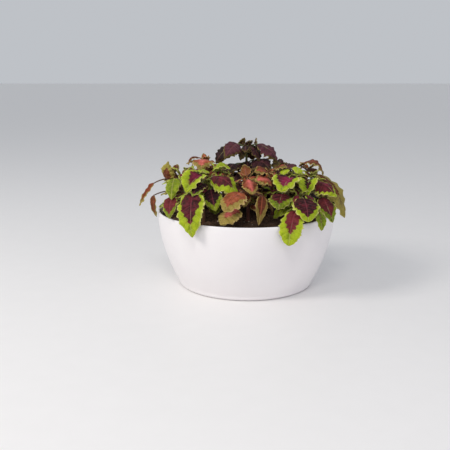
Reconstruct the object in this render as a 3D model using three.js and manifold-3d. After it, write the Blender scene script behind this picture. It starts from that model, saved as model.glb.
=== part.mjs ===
// A coleus planting in a round white ceramic bowl.
// Millimetres. X runs to the right, Y to the back and Z up; the origin is the centre of the bowl's foot.

import * as THREE from 'three';
import { mergeVertices } from 'three/addons/utils/BufferGeometryUtils.js';
import Module from 'manifold-3d';

const wasm = await Module();
wasm.setup();

// Bowl. The side swells from the foot to the rim as a power curve.
const RIM_RADIUS = 150;
const BOWL_HEIGHT = 128;
const FOOT_DROP = 38;
const SIDE_POWER = 1.9;
const CORNER_RADIUS = 7;
const WALL = 5;
const LIP_WALL = 3.4;
const LIP_BASE = BOWL_HEIGHT - LIP_WALL / 2;
const ROUND_SEGMENTS = 42;
const OUTER_LEVELS = [36, 60, 84, 106];
const INNER_LEVELS = [46, 82];

// Soil. It fills the bowl to a little under the rim and is heaped slightly in the middle.
const SOIL_EDGE = 115;
const SOIL_MOUND = 5;
const SOIL_BUMP = 1.4;
const SOIL_RINGS = [0.7, 0.36];
const SEAT_GAP = 0.3;

// Leafy stems. A stem is square in section and stands in a plain hole.
const HOLE_DEPTH = 34;
const HOLE_GAP = 0.35;
const STEM_RADIUS = 3.6;
const STEM_TIP_RADIUS = 2.2;
const STEM_LEVELS = [0.36, 0.7, 1];
const ROOT_HALF = 1.4;
const ROOT_START = 0.5;
const STALK_HALF = 1.2;
const STALK_BOW = 0.1;
const BLADE_THICKNESS = 0.8;
const LEAF_CLEARANCE = 1;
const LARGEST_SCRAP = 1;

// Blade outline: half widths rise from the base and fall to the tip as two powers.
// A smaller power at the tip makes it blunter.
const BASE_POWER = 0.62;
const TIP_POWER = 0.97;
const NOTCH = 0.84;
const TOOTH_LEAN = 0.68;
const EDGE_WAVES = 1.6;

// Teeth on each side of a placed leaf, from the widest leaves down.
const TEETH_BY_WIDTH = [[30, 5], [16, 4], [0, 3]];

// Leaves of the rule keep out of the front of a stem that has placed leaves there.
const FRONT_LIMIT = 0.6;
const PLACED_SHIFTS = [0, -4, 4, -8, 8, -12, 12, -16, 16, -20, 20];
const RULED_CHANGES = [
  [0, 0, 1], [14, 0, 1], [-14, 0, 1], [0, -12, 1], [0, 12, 1], [28, 0, 1], [-28, 0, 1],
  [14, 12, 1], [-14, 12, 1], [14, -12, 1], [-14, -12, 1],
  [0, 0, 0.85], [20, 0, 0.85], [-20, 0, 0.85], [0, -10, 0.85], [0, 10, 0.85], [36, 8, 0.85], [-36, 8, 0.85],
  [0, 0, 0.7], [20, 0, 0.7], [-20, 0, 0.7], [0, 10, 0.7],
];

const FINISHES = {
  glaze: { color: 0xe6e1e3, roughness: 0.35, metalness: 0 },
  soil: { color: 0x2b211c, roughness: 1, metalness: 0 },
  dark: { color: 0x4b2a38, roughness: 0.6, metalness: 0 },
  lime: { color: 0x8cab2d, roughness: 0.6, metalness: 0 },
  coral: { color: 0xb1573f, roughness: 0.6, metalness: 0 },
  bronze: { color: 0x86653a, roughness: 0.6, metalness: 0 },
};

// Every leafy stem: where it stands, where it ends, and its placed leaves as
// [height on the stem, blade base, blade tip, width, arch, roll in degrees, edge lift],
// with a tip power of its own at the end of the row where the leaf is blunter than most.
// pairs, turn and reach drive the leaves that follow the rule of crossed pairs.
const LEAFY_STEMS = [
  {
    name: 'leafy_stem_dark_centre', finish: 'dark', foot: [2, 10], top: [0, 2, 234],
    leaves: [
      [229, [-15, -6, 239], [-37, -36, 217], 32, 16, -35, -0.15],
      [224, [-30, 8, 231], [-51, 4, 204], 28, 12, -55, -0.15],
      [230, [19, -2, 238], [52, -14, 206], 35, 18, 20, -0.15],
      [232, [-11, 9, 235], [-2, 8, 248], 12, 3, 0, 0.3],
      [232, [20, 8, 232], [17, 8, 248], 13, 3, 0, 0.3],
      [227, [-4, -5, 229], [-10, -18, 212], 15, 6, 0, -0.1],
      [227, [12, -6, 230], [21, -19, 211], 23, 8, 0, -0.1],
      [230, [2, -9, 236], [2, -22, 226], 13, 4, 0, -0.1],
      [204, [12, -5, 211], [42, -26, 195], 42, 14, 20, -0.15],
      [200, [-17, -10, 205], [-35, -40, 192], 30, 10, -10, -0.15],
      [168, [6, -12, 174], [14, -46, 154], 38, 12, 0, -0.1],
    ],
    pairs: 5, turn: 80, reach: 60, clear: 16,
  },
  {
    name: 'leafy_stem_lime_left_front', finish: 'lime', foot: [-70, -64], top: [-74, -74, 196],
    leaves: [
      [170, [-84, -104, 173], [-85, -142, 111], 53, 16, 15, 0.1],
      [190, [-74, -88, 198], [-95, -112, 174], 42, 12, 0, 0.5],
      [184, [-70, -92, 186], [-86, -118, 170], 28, 8, 0, 0.05],
    ],
    pairs: 3, turn: 60, reach: 50, clear: 26,
  },
  {
    name: 'leafy_stem_lime_left', finish: 'lime', foot: [-98, -28], top: [-108, -34, 192],
    leaves: [
      [176, [-117, -50, 187], [-120, -84, 158], 28, 12, 0, -0.1],
      [150, [-121, -72, 161], [-123, -100, 131], 27, 8, 0, 0],
      [188, [-92, -46, 196], [-60, -64, 198], 28, 12, 0, -0.3],
    ],
    pairs: 3, turn: 140, reach: 46, clear: 24,
  },
  {
    name: 'leafy_stem_bronze_left', finish: 'bronze', foot: [-100, 16], top: [-122, 4, 190],
    leaves: [
      [176, [-155, -15, 174], [-180, -20, 136], 20, 2, 0, 0.3],
      [150, [-154, -30, 156], [-149, -38, 121], 15, 6, 0, 0.3],
      [180, [-134, -4, 180], [-130, -14, 212], 30, 4, 180, -0.2, 1.3],
    ],
    pairs: 4, turn: 45, reach: 44, clear: 18,
  },
  {
    name: 'leafy_stem_coral_left_back', finish: 'coral', foot: [-62, 34], top: [-70, 20, 206],
    leaves: [
      [202, [-72, -2, 211], [-75, -44, 200], 38, 10, 0, -0.1],
      [204, [-79, 14, 213], [-98, 8, 201], 12, 17, 0, -0.2],
    ],
    pairs: 5, turn: 55, reach: 60, clear: 16,
  },
  {
    name: 'leafy_stem_lime_centre_left', finish: 'lime', foot: [-36, -36], top: [-44, -50, 198],
    leaves: [
      [195, [-56, -58, 200], [-27, -68, 205], 26, 24, 0, -0.6],
      [184, [-57, -78, 194], [-14, -100, 163], 42, 30, 0, -0.4],
      [164, [-58, -88, 176], [-50, -116, 146], 34, 10, 0, -0.1],
    ],
    pairs: 3, turn: 90, reach: 50, clear: 24,
  },
  {
    name: 'leafy_stem_coral_centre', finish: 'coral', foot: [2, -58], top: [-2, -66, 190],
    leaves: [
      [160, [-12, -102, 174], [-36, -138, 152], 44, 12, 0, -0.1, 0.8],
      [184, [0, -84, 191], [7, -108, 171], 27, 8, 0, -0.2, 0.8],
      [140, [-16, -104, 147], [-42, -136, 129], 41, 10, 0, -0.1, 0.8],
      [158, [22, -96, 166], [15, -134, 128], 20, 8, 0, 0.3],
      [187, [-2, -74, 196], [-6, -80, 214], 18, 4, 0, 0.3],
    ],
    pairs: 3, turn: 80, reach: 48, clear: 28,
  },
  {
    name: 'leafy_stem_coral_centre_right', finish: 'coral', foot: [44, -16], top: [40, -34, 194],
    leaves: [
      [178, [38, -52, 182], [11, -76, 187], 31, 10, -35, -0.1],
      [188, [32, -44, 196], [11, -62, 200], 26, 8, -30, 0.1],
      [192, [47, -42, 203], [64, -58, 206], 24, 8, 10, -0.2],
    ],
    pairs: 4, turn: 70, reach: 54, clear: 20,
  },
  {
    name: 'leafy_stem_lime_right_centre', finish: 'lime', foot: [66, -38], top: [68, -50, 192],
    leaves: [
      [186, [67, -70, 190], [50, -116, 176], 50, 8, 0, 0.35],
      [160, [54, -86, 168], [46, -122, 150], 42, 8, 0, -0.1],
      [190, [62, -56, 203], [57, -74, 195], 18, 4, 0, -0.2],
      [188, [83, -42, 204], [79, -64, 197], 20, 5, 0, -0.2],
    ],
    pairs: 3, turn: 95, reach: 50, clear: 24,
  },
  {
    name: 'leafy_stem_lime_right_front', finish: 'lime', foot: [78, -84], top: [82, -92, 166],
    leaves: [
      [144, [71, -126, 149], [59, -156, 102], 40, 14, 0, 0.1, 0.62],
      [162, [85, -110, 165], [88, -150, 137], 44, 14, 0, 0, 0.75],
      [142, [108, -114, 146], [110, -138, 121], 20, 6, 0, 0.1, 0.75],
    ],
    pairs: 2, turn: 90, reach: 44, clear: 26,
  },
  {
    name: 'leafy_stem_lime_right', finish: 'lime', foot: [104, -26], top: [106, -38, 188],
    leaves: [
      [184, [98, -66, 182], [92, -100, 165], 36, 4, 0, 1],
      [178, [108, -66, 185], [140, -86, 163], 42, 14, 0, -0.4],
      [158, [118, -80, 162], [131, -114, 128], 32, 8, 0, -0.1],
    ],
    pairs: 3, turn: 85, reach: 50, clear: 24,
  },
  {
    name: 'leafy_stem_bronze_right', finish: 'bronze', foot: [100, 24], top: [106, 10, 194],
    leaves: [
      [190, [88, -12, 202], [127, -26, 189], 34, 30, -15, 0.1],
      [176, [118, -24, 190], [161, -48, 121], 42, 30, 0, -0.2],
      [164, [120, -40, 168], [149, -60, 137], 24, 10, 0, 0.1],
    ],
    pairs: 4, turn: 100, reach: 56, clear: 18,
  },
  {
    name: 'leafy_stem_dark_right', finish: 'dark', foot: [58, 20], top: [60, 6, 200],
    leaves: [
      [196, [66, -6, 203], [84, -24, 197], 26, 10, 0, -0.2],
      [190, [52, -12, 194], [38, -44, 182], 32, 12, 0, -0.1],
      [198, [53, -2, 208], [45, -14, 199], 18, 4, 0, -0.1],
    ],
    pairs: 5, turn: 60, reach: 56, clear: 16,
  },
  {
    name: 'leafy_stem_lime_back_left', finish: 'lime', foot: [-92, 66], top: [-100, 76, 178],
    pairs: 5, turn: 20, reach: 66, clear: 12,
  },
  {
    name: 'leafy_stem_coral_back', finish: 'coral', foot: [-36, 88], top: [-40, 98, 184],
    pairs: 5, turn: 75, reach: 68, clear: 12,
  },
  {
    name: 'leafy_stem_lime_back', finish: 'lime', foot: [26, 84], top: [28, 92, 184],
    pairs: 5, turn: 30, reach: 68, clear: 12,
  },
  {
    name: 'leafy_stem_dark_back_right', finish: 'dark', foot: [84, 74], top: [94, 82, 182],
    pairs: 5, turn: 110, reach: 66, clear: 12,
  },
];

const UP = new THREE.Vector3(0, 0, 1);

// A repeatable number from 0 to 1 for each whole-number key.
function draw(key) {
  const modulus = 2147483647;
  let state = (key * 7919 + 104729) % modulus;
  for (let turn = 0; turn < 3; turn += 1) {
    state = (state * 16807) % modulus;
  }
  return state / modulus;
}

function spread(key, low, high) {
  return low + (high - low) * draw(key);
}

function vec(list) {
  return new THREE.Vector3(list[0], list[1], list[2]);
}

// The geometry with its shared vertices merged and its empty triangles left out.
function merged(geometry) {
  const bare = geometry.clone();
  bare.deleteAttribute('normal');
  bare.deleteAttribute('uv');
  const welded = mergeVertices(bare, 1e-4);
  const kept = [];
  const index = welded.index.array;
  for (let i = 0; i < index.length; i += 3) {
    const [a, b, c] = [index[i], index[i + 1], index[i + 2]];
    if (a !== b && b !== c && c !== a) {
      kept.push(a, b, c);
    }
  }
  welded.setIndex(kept);
  return welded;
}

function toSolid(geometry) {
  const welded = merged(geometry);
  return new wasm.Manifold(new wasm.Mesh({
    numProp: 3,
    vertProperties: new Float32Array(welded.attributes.position.array),
    triVerts: new Uint32Array(welded.index.array),
  }));
}

function toGeometry(solid) {
  const mesh = solid.getMesh();
  const geometry = new THREE.BufferGeometry();
  geometry.setAttribute('position', new THREE.BufferAttribute(new Float32Array(mesh.vertProperties), 3));
  geometry.setIndex(new THREE.BufferAttribute(new Uint32Array(mesh.triVerts), 1));
  geometry.computeVertexNormals();
  return geometry;
}

function solidFromLists(points, triangles) {
  const geometry = new THREE.BufferGeometry();
  geometry.setAttribute('position', new THREE.Float32BufferAttribute(points.flatMap((p) => p.toArray()), 3));
  geometry.setIndex(triangles.flat());
  return toSolid(geometry);
}

function lathe(profile) {
  const geometry = new THREE.LatheGeometry(profile.map(([r, z]) => new THREE.Vector2(r, z)), ROUND_SEGMENTS);
  geometry.rotateX(Math.PI / 2);
  return merged(geometry);
}

// Bowl.

function outerRadius(z) {
  return RIM_RADIUS - FOOT_DROP * Math.pow(1 - z / BOWL_HEIGHT, SIDE_POWER);
}

// The inner wall leaves WALL at the foot and LIP_WALL at the lip.
function innerRadius(z) {
  return outerRadius(z) - WALL + (WALL - LIP_WALL) * (z / BOWL_HEIGHT);
}

// A quarter turn from straight outwards along the floor to straight up along the wall.
function corner(radius, floor, size, steps) {
  const points = [];
  for (let i = 0; i <= steps; i += 1) {
    const angle = (i / steps) * (Math.PI / 2);
    points.push([radius - size + size * Math.sin(angle), floor + size - size * Math.cos(angle)]);
  }
  return points;
}

function wallPoints(radiusAt, levels) {
  return levels.map((z) => [radiusAt(z), z]);
}

// The lip is half round, from the top of the outer wall over to the top of the inner one.
function lip(steps) {
  const radius = LIP_WALL / 2;
  const points = [];
  for (let i = 0; i <= steps; i += 1) {
    const angle = (i / steps) * Math.PI;
    points.push([RIM_RADIUS - radius + radius * Math.cos(angle), LIP_BASE + radius * Math.sin(angle)]);
  }
  return points;
}

function makeBowl() {
  const outside = [
    ...corner(outerRadius(CORNER_RADIUS), 0, CORNER_RADIUS, 3),
    ...wallPoints(outerRadius, OUTER_LEVELS),
  ];
  const inside = [
    ...corner(innerRadius(CORNER_RADIUS), WALL, CORNER_RADIUS - WALL, 1),
    ...wallPoints(innerRadius, [...INNER_LEVELS, SOIL_EDGE]),
  ];
  return lathe([[0, 0], ...outside, ...lip(3), ...inside.reverse(), [0, WALL]]);
}

// Soil.

function soilHeight(x, y) {
  const radius = Math.hypot(x, y) / RIM_RADIUS;
  const bump = Math.sin(x / 11 + 1.3) * Math.cos(y / 9 - 0.4);
  return SOIL_EDGE + SOIL_MOUND * (1 - radius * radius) + SOIL_BUMP * bump;
}

function soilRadius(z) {
  return innerRadius(z) - SEAT_GAP;
}

// The soil's side has the same levels as the bowl's inner wall, so that the gap between them is even.
function makeSoil() {
  const inner = soilRadius(CORNER_RADIUS);
  const edge = soilRadius(SOIL_EDGE);
  const rings = SOIL_RINGS.map((share) => [share * edge, SOIL_EDGE]);
  const geometry = lathe([
    [0, WALL + SEAT_GAP],
    ...corner(inner, WALL + SEAT_GAP, CORNER_RADIUS - WALL, 1),
    ...wallPoints(soilRadius, [...INNER_LEVELS, SOIL_EDGE]),
    ...rings,
    [0, SOIL_EDGE],
  ]);
  const position = geometry.attributes.position;
  for (let i = 0; i < position.count; i += 1) {
    if (position.getZ(i) > SOIL_EDGE - 0.01) {
      position.setZ(i, soilHeight(position.getX(i), position.getY(i)));
    }
  }
  return toSolid(geometry);
}

// A closed tube with flat ends: rings of `sides` corners round each point, the first corner towards `first`.
function tube(points, radii, sides, first) {
  const spots = [];
  const triangles = [];
  points.forEach((point, i) => {
    const before = points[Math.max(i - 1, 0)];
    const after = points[Math.min(i + 1, points.length - 1)];
    const along = after.clone().sub(before).normalize();
    const across = first.clone().addScaledVector(along, -first.dot(along)).normalize();
    const third = along.clone().cross(across);
    for (let k = 0; k < sides; k += 1) {
      const angle = ((k + 0.5) / sides) * Math.PI * 2;
      spots.push(point.clone()
        .addScaledVector(across, radii[i] * Math.cos(angle))
        .addScaledVector(third, radii[i] * Math.sin(angle)));
    }
  });
  for (let i = 0; i + 1 < points.length; i += 1) {
    for (let k = 0; k < sides; k += 1) {
      const [a, b] = [i * sides + k, i * sides + ((k + 1) % sides)];
      triangles.push([a, b, b + sides], [a, b + sides, a + sides]);
    }
  }
  const last = (points.length - 1) * sides;
  for (let k = 1; k + 1 < sides; k += 1) {
    triangles.push([0, k + 1, k], [last, last + k, last + k + 1]);
  }
  return solidFromLists(spots, triangles);
}

// Stems.

function stemFoot(stem) {
  return new THREE.Vector3(stem.foot[0], stem.foot[1], soilHeight(stem.foot[0], stem.foot[1]));
}

// The stem rises upright from its foot and bends evenly to its top.
function stemPoint(stem, height) {
  const foot = stemFoot(stem);
  const top = vec(stem.top);
  const share = (height - foot.z) / (top.z - foot.z);
  const bend = share * share;
  return new THREE.Vector3(foot.x + (top.x - foot.x) * bend, foot.y + (top.y - foot.y) * bend, height);
}

function makeStem(stem) {
  const foot = stemFoot(stem);
  const bottom = foot.clone().setZ(foot.z - HOLE_DEPTH + SEAT_GAP);
  const rise = stem.top[2] - foot.z;
  const points = [bottom, foot, ...STEM_LEVELS.map((share) => stemPoint(stem, foot.z + rise * share))];
  const radii = [0, 0, ...STEM_LEVELS].map((share) => STEM_RADIUS + (STEM_TIP_RADIUS - STEM_RADIUS) * share);
  return tube(points, radii, 4, new THREE.Vector3(1, 0, 0));
}

function makeHole(stem) {
  const foot = stemFoot(stem);
  const low = foot.clone().setZ(foot.z - HOLE_DEPTH);
  const high = foot.clone().setZ(foot.z + SOIL_BUMP * 4);
  const radius = STEM_RADIUS + HOLE_GAP * Math.SQRT2;
  return tube([low, high], [radius, radius], 4, new THREE.Vector3(1, 0, 0));
}

// Blades.

// The axes of a leaf: its root on the stem, the curve of its midrib and the direction across it.
// An upright blade turns its upper face to the stem, a hanging one away from it.
function leafAxes(stem, leaf) {
  const root = stemPoint(stem, leaf.height);
  const chord = leaf.tip.clone().sub(leaf.base);
  const middle = leaf.tip.clone().add(leaf.base).multiplyScalar(0.5);
  const outward = middle.clone().sub(root).setZ(0).normalize();
  const along = chord.clone().normalize();
  const level = Math.hypot(along.x, along.y);
  const facing = UP.clone().multiplyScalar(level).addScaledVector(outward, -along.z);
  facing.addScaledVector(along, -facing.dot(along)).normalize();
  facing.applyAxisAngle(along, THREE.MathUtils.degToRad(leaf.roll));
  const control = middle.addScaledVector(facing, leaf.arch);
  return {
    root,
    midrib: new THREE.QuadraticBezierCurve3(leaf.base, control, leaf.tip),
    across: along.clone().cross(facing).normalize(),
  };
}

// Half the blade's width at u along the midrib, as a share of its greatest.
function outline(leaf, u) {
  const widest = BASE_POWER / (BASE_POWER + leaf.taper);
  return Math.pow(u / widest, BASE_POWER) * Math.pow((1 - u) / (1 - widest), leaf.taper);
}

// A point of the blade: u runs from base to tip, v across from -1 to 1, and rise is the offset over the face.
function bladePoint(leaf, axes, u, v, rise) {
  const along = axes.midrib.getTangent(u);
  const up = axes.across.clone().cross(along).normalize();
  const half = (leaf.width / 2) * outline(leaf, u) + STALK_HALF * (1 - u) * (1 - u);
  const wave = leaf.wave * Math.sin(2 * Math.PI * EDGE_WAVES * u + (v > 0 ? 0.6 : 2.9));
  const lift = Math.abs(v) * (leaf.fold * half + wave * outline(leaf, u)) + rise;
  return axes.midrib.getPoint(u).addScaledVector(axes.across, v * half).addScaledVector(up, lift);
}

// The blade's faces in u and v: a midrib row, a row of notches on each hand, a tooth over each two notches.
// Spots 0 and 1 are the two corners of its base, and the last midrib spot is its tip.
function bladeLayout(teeth) {
  const spots = [[0, 1], [0, -1]];
  const rib = [null];
  for (let i = 1; i <= teeth; i += 1) {
    rib.push(spots.push([i / teeth, 0]) - 1);
  }
  const faces = [[0, rib[1], 1]];
  for (const hand of [1, -1]) {
    const notches = [hand > 0 ? 0 : 1];
    for (let i = 1; i < teeth; i += 1) {
      notches.push(spots.push([i / teeth, hand * NOTCH]) - 1);
    }
    notches.push(rib[teeth]);
    for (let i = 0; i < teeth; i += 1) {
      const tooth = spots.push([(i + TOOTH_LEAN) / teeth, hand]) - 1;
      const cell = [[notches[i], notches[i + 1], tooth]];
      if (i === 0) {
        cell.push([notches[0], rib[1], notches[1]]);
      } else {
        cell.push([rib[i], notches[i + 1], notches[i]]);
      }
      if (i > 0 && i + 1 < teeth) {
        cell.push([rib[i], rib[i + 1], notches[i + 1]]);
      }
      faces.push(...cell.map(([p, q, r]) => (hand > 0 ? [p, r, q] : [p, q, r])));
    }
  }
  return { spots, faces };
}

// Four corners round a point of the stalk, in the order of the blade's base corners.
function stalkRing(centre, along, across, halfWide, halfHigh) {
  const level = across.clone().addScaledVector(along, -across.dot(along)).normalize();
  const up = level.clone().cross(along);
  return [[1, 1], [-1, 1], [-1, -1], [1, -1]].map(([wide, high]) => centre.clone()
    .addScaledVector(level, wide * halfWide)
    .addScaledVector(up, high * halfHigh));
}

// The stalk's rings from inside the stem to just short of the blade.
function stalkRings(leaf, axes) {
  const along = leaf.base.clone().sub(axes.root).normalize();
  const rootAcross = along.clone().cross(UP).normalize();
  if (rootAcross.dot(axes.across) < 0) {
    rootAcross.negate();
  }
  const start = axes.root.clone().addScaledVector(along, ROOT_START);
  const rings = [stalkRing(start, along, rootAcross, ROOT_HALF, ROOT_HALF)];
  if (leaf.placed) {
    const bow = axes.root.distanceTo(leaf.base) * STALK_BOW;
    const halfway = axes.root.clone().add(leaf.base).multiplyScalar(0.5).addScaledVector(UP, bow);
    const turned = rootAcross.clone().add(axes.across).normalize();
    rings.push(stalkRing(halfway, along, turned, STALK_HALF, STALK_HALF));
  }
  return rings;
}

// A leaf as one thin closed body: the same triangles on both faces, a wall round the toothed edge,
// and at its base either the four-sided stalk or a plain wall.
function makeLeaf(leaf, axes, withStalk) {
  const { spots, faces } = bladeLayout(leaf.teeth);
  const count = spots.length;
  const half = BLADE_THICKNESS / 2;
  const points = [half, -half].flatMap((rise) => spots.map(([u, v]) => bladePoint(leaf, axes, u, v, rise)));
  const edges = new Set(faces.flatMap(([a, b, c]) => [`${a},${b}`, `${b},${c}`, `${c},${a}`]));
  const walls = [];
  for (const edge of edges) {
    const [a, b] = edge.split(',').map(Number);
    const atBase = a + b === 1;
    if (!edges.has(`${b},${a}`) && !(atBase && withStalk)) {
      walls.push([b, a, a + count], [b, a + count, b + count]);
    }
  }
  if (withStalk) {
    const rings = stalkRings(leaf, axes).map((ring) => ring.map((corner) => points.push(corner) - 1));
    rings.push([0, 1, 1 + count, count]);
    const [first] = rings;
    walls.push([first[0], first[1], first[2]], [first[0], first[2], first[3]]);
    for (let j = 0; j + 1 < rings.length; j += 1) {
      for (let k = 0; k < 4; k += 1) {
        const next = (k + 1) % 4;
        const [a, b, c, d] = [rings[j][k], rings[j][next], rings[j + 1][next], rings[j + 1][k]];
        walls.push([a, d, c], [a, c, b]);
      }
    }
  }
  const underside = faces.map(([a, b, c]) => [c + count, b + count, a + count]);
  return solidFromLists(points, [...faces, ...underside, ...walls]);
}

// Which leaves a stem has.

function placedLeaf(row) {
  const [height, base, tip, width, arch, roll, fold, taper = TIP_POWER] = row;
  const teeth = TEETH_BY_WIDTH.find(([least]) => width > least)[1];
  const shape = { width, arch, roll, fold, taper, wave: width / 19, teeth };
  return { height, base: vec(base), tip: vec(tip), ...shape, placed: true };
}

function outwardAt(degrees) {
  const turn = THREE.MathUtils.degToRad(degrees);
  return new THREE.Vector3(Math.cos(turn), Math.sin(turn), 0);
}

// A leaf of the crossed pairs, from its direction round the stem and its length.
function ruledLeaf(stem, height, azimuth, length, key) {
  const outward = outwardAt(azimuth + spread(key, -14, 14));
  const stalk = length * spread(key + 1, 0.3, 0.42);
  const base = stemPoint(stem, height)
    .addScaledVector(outward, stalk * 0.9)
    .addScaledVector(UP, stalk * 0.35);
  const droop = THREE.MathUtils.degToRad(spread(key + 2, 20, 50));
  const tip = base.clone()
    .addScaledVector(outward, length * Math.cos(droop))
    .addScaledVector(UP, -length * Math.sin(droop));
  const width = length * spread(key + 3, 0.66, 0.78);
  const roll = spread(key + 4, -26, 26);
  const fold = spread(key + 5, -0.28, 0.12);
  const taper = spread(key + 6, 0.75, 1.05);
  return { height, base, tip, width, arch: length * 0.22, roll, fold, taper, wave: width / 15, teeth: 3 };
}

// One of the two young leaves at the end of the stem.
function youngLeaf(stem, azimuth, key) {
  const outward = outwardAt(azimuth + spread(key, -12, 12));
  const length = spread(key + 1, 15, 21);
  const rise = spread(key + 2, 0.35, 0.8);
  const height = stem.top[2] - 1.5;
  const base = stemPoint(stem, height).addScaledVector(outward, 4).addScaledVector(UP, 2);
  const tip = base.clone()
    .addScaledVector(outward, length * Math.cos(rise))
    .addScaledVector(UP, length * Math.sin(rise));
  const shape = { width: length * 0.62, arch: 5, roll: 0, fold: 0.15, taper: TIP_POWER, wave: 0.8, teeth: 2 };
  return { height, base, tip, ...shape, small: true };
}

// Pairs stand evenly up the stem, each turned a right angle from the last. A stem with its own placed leaves
// towards the front has none of the rule there.
function leavesOf(stem, order) {
  const leaves = (stem.leaves ?? []).map(placedLeaf);
  const low = stemFoot(stem).z + stem.clear;
  const high = stem.top[2] - 14;
  for (let pair = 0; pair < stem.pairs; pair += 1) {
    const height = low + ((high - low) * pair) / Math.max(stem.pairs - 1, 1);
    for (const half of [0, 180]) {
      const azimuth = stem.turn + 90 * pair + half;
      const key = order * 1000 + pair * 100 + half / 4;
      const towardsFront = -Math.sin(THREE.MathUtils.degToRad(azimuth));
      if (!stem.leaves || towardsFront < FRONT_LIMIT) {
        leaves.push(ruledLeaf(stem, height, azimuth, stem.reach * (1 - 0.12 * pair), key));
      }
    }
  }
  for (const half of [0, 180]) {
    leaves.push(youngLeaf(stem, stem.turn + 45 + half, order * 1000 + 900 + half / 4));
  }
  return leaves;
}

// Where another leaf is in the way, a placed leaf moves a little to the front or back,
// and a leaf of the rule turns, lifts or shortens a little. The first that is clear is taken.
function variantsOf(leaf) {
  if (leaf.placed) {
    return PLACED_SHIFTS.map((shift) => ({
      ...leaf,
      base: leaf.base.clone().add(new THREE.Vector3(0, shift * 0.5, 0)),
      tip: leaf.tip.clone().add(new THREE.Vector3(0, shift, 0)),
    }));
  }
  return RULED_CHANGES.map(([turn, lift, size]) => {
    const arm = leaf.tip.clone().sub(leaf.base).multiplyScalar(size);
    arm.applyAxisAngle(UP, THREE.MathUtils.degToRad(turn));
    return { ...leaf, width: leaf.width * size, tip: arm.add(leaf.base).addScaledVector(UP, lift) };
  });
}

// Clearance.

function withBox(solid) {
  return { solid, box: solid.boundingBox() };
}

function boxesApart(a, b, distance) {
  return [0, 1, 2].some((k) => a.min[k] > b.max[k] + distance || b.min[k] > a.max[k] + distance);
}

function isClear(body, others) {
  return others.every((other) => boxesApart(body.box, other.box, LEAF_CLEARANCE)
    || body.solid.minGap(other.solid, LEAF_CLEARANCE + 0.5) >= LEAF_CLEARANCE);
}

// The whole plant.

const bowl = toSolid(makeBowl());
const soil = LEAFY_STEMS.reduce((body, stem) => body.subtract(makeHole(stem)), makeSoil());
const surroundings = [withBox(bowl), withBox(soil)];
const plants = LEAFY_STEMS.map((stem, order) => ({
  stem,
  order,
  body: withBox(makeStem(stem)),
  blades: [],
  leaves: [],
}));

// Takes the first variant whose whole leaf is clear of the other plants, and its blade of its own plant.
// The two young leaves of a tuft may meet where they grow from the stem.
function tryLeaf(plant, leaf) {
  const strangers = plants.filter((other) => other !== plant);
  const others = [...surroundings, ...strangers.flatMap((other) => [other.body, ...other.leaves])];
  const ownBlades = plant.blades.filter((blade) => !leaf.small || !blade.small);
  const ownLeaves = leaf.small ? ownBlades : [plant.body, ...plant.leaves];
  for (const variant of variantsOf(leaf)) {
    const axes = leafAxes(plant.stem, variant);
    const whole = withBox(makeLeaf(variant, axes, true));
    const blade = { ...withBox(makeLeaf(variant, axes, false)), small: leaf.small };
    if (isClear(whole, others) && isClear(blade, ownLeaves) && isClear(whole, ownBlades)) {
      plant.blades.push(blade);
      plant.leaves.push(whole);
      return true;
    }
  }
  return false;
}

const wanted = plants.flatMap((plant) => leavesOf(plant.stem, plant.order).map((leaf) => ({ plant, leaf })));
const ranked = [
  ...wanted.filter(({ leaf }) => leaf.placed),
  ...wanted.filter(({ leaf }) => leaf.small),
  ...wanted.filter(({ leaf }) => !leaf.placed && !leaf.small),
];
for (const { plant, leaf } of ranked) {
  const fits = tryLeaf(plant, leaf);
  if (!fits && leaf.placed) {
    throw new Error(`no room for the leaf of ${plant.stem.name} that ends at ${leaf.tip.toArray()}`);
  }
}

// Stem and leaves as one body, without the hollows and scraps that joining can leave.
function fused({ stem, body, leaves }) {
  const whole = leaves.reduce((joined, leaf) => joined.add(leaf.solid), body.solid);
  const [largest, ...rest] = whole.decompose().sort((a, b) => b.volume() - a.volume());
  if (rest.some((piece) => Math.abs(piece.volume()) > LARGEST_SCRAP)) {
    throw new Error(`a leaf of ${stem.name} does not reach its stem`);
  }
  return largest;
}

function namedMesh(name, solid, finish) {
  const material = new THREE.MeshStandardMaterial({ ...FINISHES[finish], flatShading: true });
  const mesh = new THREE.Mesh(toGeometry(solid), material);
  mesh.name = name;
  return mesh;
}

const planting = new THREE.Group();
planting.add(namedMesh('bowl', bowl, 'glaze'));
planting.add(namedMesh('soil', soil, 'soil'));
for (const plant of plants) {
  planting.add(namedMesh(plant.stem.name, fused(plant), plant.stem.finish));
}

export default planting;
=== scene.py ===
"""A coleus planting in a white ceramic bowl: the finish of every surface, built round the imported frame.

Lengths are worked out in millimetres, as in the frame's own drawing, and turned to metres when a mesh is
made. X runs to the right, Y to the back and Z up. The origin is the centre of the bowl's flat foot.
"""

import math
from collections import namedtuple

import bpy
import numpy as np
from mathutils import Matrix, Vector


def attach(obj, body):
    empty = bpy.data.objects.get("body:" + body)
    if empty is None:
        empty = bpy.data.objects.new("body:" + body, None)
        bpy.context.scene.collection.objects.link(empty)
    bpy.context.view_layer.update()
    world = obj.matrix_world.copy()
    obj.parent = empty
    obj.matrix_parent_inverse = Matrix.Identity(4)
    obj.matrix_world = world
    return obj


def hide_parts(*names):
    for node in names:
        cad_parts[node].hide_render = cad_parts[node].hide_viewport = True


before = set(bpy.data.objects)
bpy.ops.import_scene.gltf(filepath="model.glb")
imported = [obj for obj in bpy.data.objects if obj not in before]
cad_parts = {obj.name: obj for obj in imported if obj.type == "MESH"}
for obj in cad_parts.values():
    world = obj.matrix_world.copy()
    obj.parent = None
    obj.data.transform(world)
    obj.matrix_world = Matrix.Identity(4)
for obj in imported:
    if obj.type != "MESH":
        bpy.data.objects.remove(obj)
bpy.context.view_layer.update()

MM = 0.001
UP = np.array([0.0, 0.0, 1.0])
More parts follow.
